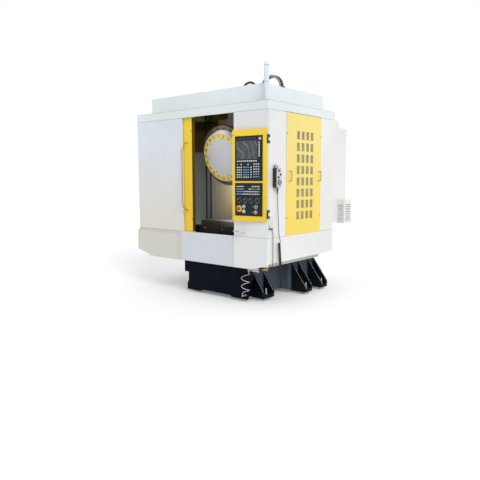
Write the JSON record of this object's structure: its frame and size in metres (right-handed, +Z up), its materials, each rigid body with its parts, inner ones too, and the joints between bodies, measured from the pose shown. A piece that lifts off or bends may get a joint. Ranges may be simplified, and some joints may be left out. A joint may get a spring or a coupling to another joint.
{
  "type": "cnc machining center",
  "caption": "Compact vertical drilling and tapping machining centre with an overhead turret tool magazine, a sliding door and a swing-out control panel.",
  "frame": {"origin": "on the floor, under the middle of the machine's bounding box", "axes": "+X along the front from left to right, +Y from the front to the back, +Z up"},
  "size_m": [2.076, 2.03, 2.492],
  "materials": {
    "base_paint": "satin",
    "casting_paint": "satin",
    "head_paint": "satin",
    "white_paint": "satin",
    "grey_paint": "satin",
    "yellow_paint": "satin",
    "black_paint": "satin",
    "bracket_paint": "satin",
    "rail_steel": "brushed",
    "bare_steel": "ground",
    "cover_steel": "brushed",
    "table_iron": "ground",
    "turret_white": "gloss",
    "plate_steel": "satin",
    "window_glass": "clear",
    "handle_paint": "satin",
    "black_plastic": "matte",
    "red_plastic": "gloss",
    "green_plastic": "gloss",
    "orange_plastic": "gloss",
    "chrome_metal": "polished",
    "mesh_steel": "matte",
    "lamp_plastic": "gloss",
    "cable_rubber": "matte",
    "hose_plastic": "gloss",
    "fitting_metal": "satin",
    "dial_metal": "turned",
    "foot_steel": "zinc plated"
  },
  "bodies": {
    "machine": {"base": "base_paint", "leveling_feet": "foot_steel", "chip_tray": "white_paint", "column": "casting_paint", "guide_rails": "rail_steel", "axis_drives": "black_paint", "arm_bracket": "bracket_paint", "roof": "white_paint", "roof_loops": "black_plastic", "left_front_panel": "white_paint", "right_front_panel": "white_paint", "side_walls": "white_paint", "rear_wall": "white_paint", "skirts": "white_paint", "cabin_liner": "grey_paint", "door_track": "black_paint", "access_panel": "yellow_paint", "access_mesh": "mesh_steel", "signal_lamp": "lamp_plastic", "electrical_cabinet": "white_paint", "vent_box": "white_paint", "tool_shelf": "white_paint", "wall_fittings": "fitting_metal", "pendant_body": "black_plastic", "pendant_cable": "cable_rubber", "pendant_coil": "cable_rubber", "corner_cable": "cable_rubber", "air_coil": "hose_plastic", "cabin_hoses": "cable_rubber"},
    "saddle": {"saddle": "casting_paint", "x_drive": "rail_steel"},
    "table": {"table": "table_iron"},
    "head": {"spindle_head": "head_paint"},
    "spindle": {"spindle": "bare_steel"},
    "magazine_arm": {"magazine_arm": "casting_paint"},
    "turret": {"magazine_disc": "turret_white", "pocket_plate": "plate_steel"},
    "cover_1": {"way_cover_1": "cover_steel"},
    "cover_2": {"way_cover_2": "cover_steel"},
    "cover_3": {"way_cover_3": "cover_steel"},
    "door": {"door_leaf": "yellow_paint", "door_window": "window_glass", "door_handle": "handle_paint"},
    "panel": {"control_panel": "yellow_paint", "control_units": "black_plastic"},
    "stop_button": {"stop_button": "red_plastic"},
    "knob_1": {"knob_1": "black_plastic"},
    "knob_2": {"knob_2": "black_plastic"},
    "knob_3": {"knob_3": "black_plastic"},
    "knob_4": {"knob_4": "black_plastic"},
    "key_switch": {"key_switch": "chrome_metal"},
    "selector_switch": {"selector_switch": "chrome_metal"},
    "start_button": {"start_button": "green_plastic"},
    "hold_button": {"hold_button": "orange_plastic"},
    "pendant_stop": {"pendant_stop": "red_plastic"},
    "pendant_axis_knob": {"pendant_axis_knob": "black_plastic"},
    "pendant_rate_knob": {"pendant_rate_knob": "black_plastic"},
    "pendant_dial": {"pendant_dial": "dial_metal"},
    "cabinet_door": {"cabinet_door": "white_paint"},
    "main_switch": {"main_switch": "red_plastic"}
  },
  "joints": [
    {"name": "saddle_slide", "type": "slide", "parent": "machine", "child": "saddle", "axis": [0, 1, 0], "range_m": [-0.2, 0.2]},
    {"name": "table_slide", "type": "slide", "parent": "saddle", "child": "table", "axis": [1, 0, 0], "range_m": [-0.35, 0.35]},
    {"name": "head_slide", "type": "slide", "parent": "machine", "child": "head", "axis": [0, 0, 1], "range_m": [-0.33, 0]},
    {"name": "spindle_spin", "type": "hinge", "parent": "head", "child": "spindle", "pos_m": [0.132, -0.3775, 1.286], "axis": [0, 0, 1], "continuous": true},
    {"name": "magazine_swing", "type": "hinge", "parent": "machine", "child": "magazine_arm", "pos_m": [0.132, -0.2725, 1.881], "axis": [1, 0, 0], "range_deg": [0, 8.9]},
    {"name": "magazine_spin", "type": "hinge", "parent": "magazine_arm", "child": "turret", "pos_m": [0.132, -0.6735, 1.584], "axis": [0, -0.9659, -0.2588], "continuous": true},
    {"name": "cover_1_slide", "type": "slide", "parent": "machine", "child": "cover_1", "axis": [0, 1, 0], "range_m": [-0.05, 0.05]},
    {"name": "cover_2_slide", "type": "slide", "parent": "machine", "child": "cover_2", "axis": [0, 1, 0], "range_m": [-0.1, 0.1]},
    {"name": "cover_3_slide", "type": "slide", "parent": "machine", "child": "cover_3", "axis": [0, 1, 0], "range_m": [-0.15, 0.15]},
    {"name": "door_slide", "type": "slide", "parent": "machine", "child": "door", "axis": [1, 0, 0], "range_m": [0, 0.663]},
    {"name": "panel_swing", "type": "hinge", "parent": "machine", "child": "panel", "pos_m": [0.97, -0.9365, 1.375], "axis": [0, 0, 1], "range_deg": [-6, 84]},
    {"name": "stop_button_press", "type": "slide", "parent": "panel", "child": "stop_button", "axis": [-0.1045, 0.9945, 0], "range_m": [0, 0.004], "stiffness_N_per_m": 1200},
    {"name": "knob_1_turn", "type": "hinge", "parent": "panel", "child": "knob_1", "pos_m": [0.63228, -0.97602, 1.124], "axis": [0.1045, -0.9945, 0], "range_deg": [-150, 150]},
    {"name": "knob_2_turn", "type": "hinge", "parent": "panel", "child": "knob_2", "pos_m": [0.70687, -0.96818, 1.124], "axis": [0.1045, -0.9945, 0], "range_deg": [-120, 120]},
    {"name": "knob_3_turn", "type": "hinge", "parent": "panel", "child": "knob_3", "pos_m": [0.77848, -0.96065, 1.124], "axis": [0.1045, -0.9945, 0], "range_deg": [-120, 120]},
    {"name": "knob_4_turn", "type": "hinge", "parent": "panel", "child": "knob_4", "pos_m": [0.85008, -0.95313, 1.124], "axis": [0.1045, -0.9945, 0], "range_deg": [-120, 120]},
    {"name": "key_switch_turn", "type": "hinge", "parent": "panel", "child": "key_switch", "pos_m": [0.69494, -0.96943, 1.059], "axis": [0.1045, -0.9945, 0], "range_deg": [-90, 0]},
    {"name": "selector_switch_turn", "type": "hinge", "parent": "panel", "child": "selector_switch", "pos_m": [0.69494, -0.96943, 1.01], "axis": [0.1045, -0.9945, 0], "range_deg": [-45, 45]},
    {"name": "start_button_press", "type": "slide", "parent": "panel", "child": "start_button", "axis": [-0.1045, 0.9945, 0], "range_m": [0, 0.003], "stiffness_N_per_m": 1200},
    {"name": "hold_button_press", "type": "slide", "parent": "panel", "child": "hold_button", "axis": [-0.1045, 0.9945, 0], "range_m": [0, 0.003], "stiffness_N_per_m": 1200},
    {"name": "pendant_stop_press", "type": "slide", "parent": "machine", "child": "pendant_stop", "axis": [-1, 0, 0], "range_m": [0, 0.004], "stiffness_N_per_m": 1200},
    {"name": "pendant_axis_turn", "type": "hinge", "parent": "machine", "child": "pendant_axis_knob", "pos_m": [1.018, -0.7845, 1.386], "axis": [1, 0, 0], "range_deg": [-90, 90]},
    {"name": "pendant_rate_turn", "type": "hinge", "parent": "machine", "child": "pendant_rate_knob", "pos_m": [1.018, -0.8205, 1.358], "axis": [1, 0, 0], "range_deg": [-60, 60]},
    {"name": "pendant_dial_turn", "type": "hinge", "parent": "machine", "child": "pendant_dial", "pos_m": [1.018, -0.8025, 1.307], "axis": [1, 0, 0], "continuous": true},
    {"name": "cabinet_door_swing", "type": "hinge", "parent": "machine", "child": "cabinet_door", "pos_m": [-0.097, 0.9635, 1.4], "axis": [0, 0, 1], "range_deg": [0, 110]},
    {"name": "main_switch_turn", "type": "hinge", "parent": "cabinet_door", "child": "main_switch", "pos_m": [0.681, 0.9755, 1.5], "axis": [0, 1, 0], "range_deg": [0, 90]}
  ],
  "couplings": [
    {"joint": "cover_1_slide", "follows": "saddle_slide", "ratio": 0.25},
    {"joint": "cover_2_slide", "follows": "saddle_slide", "ratio": 0.5},
    {"joint": "cover_3_slide", "follows": "saddle_slide", "ratio": 0.75}
  ]
}
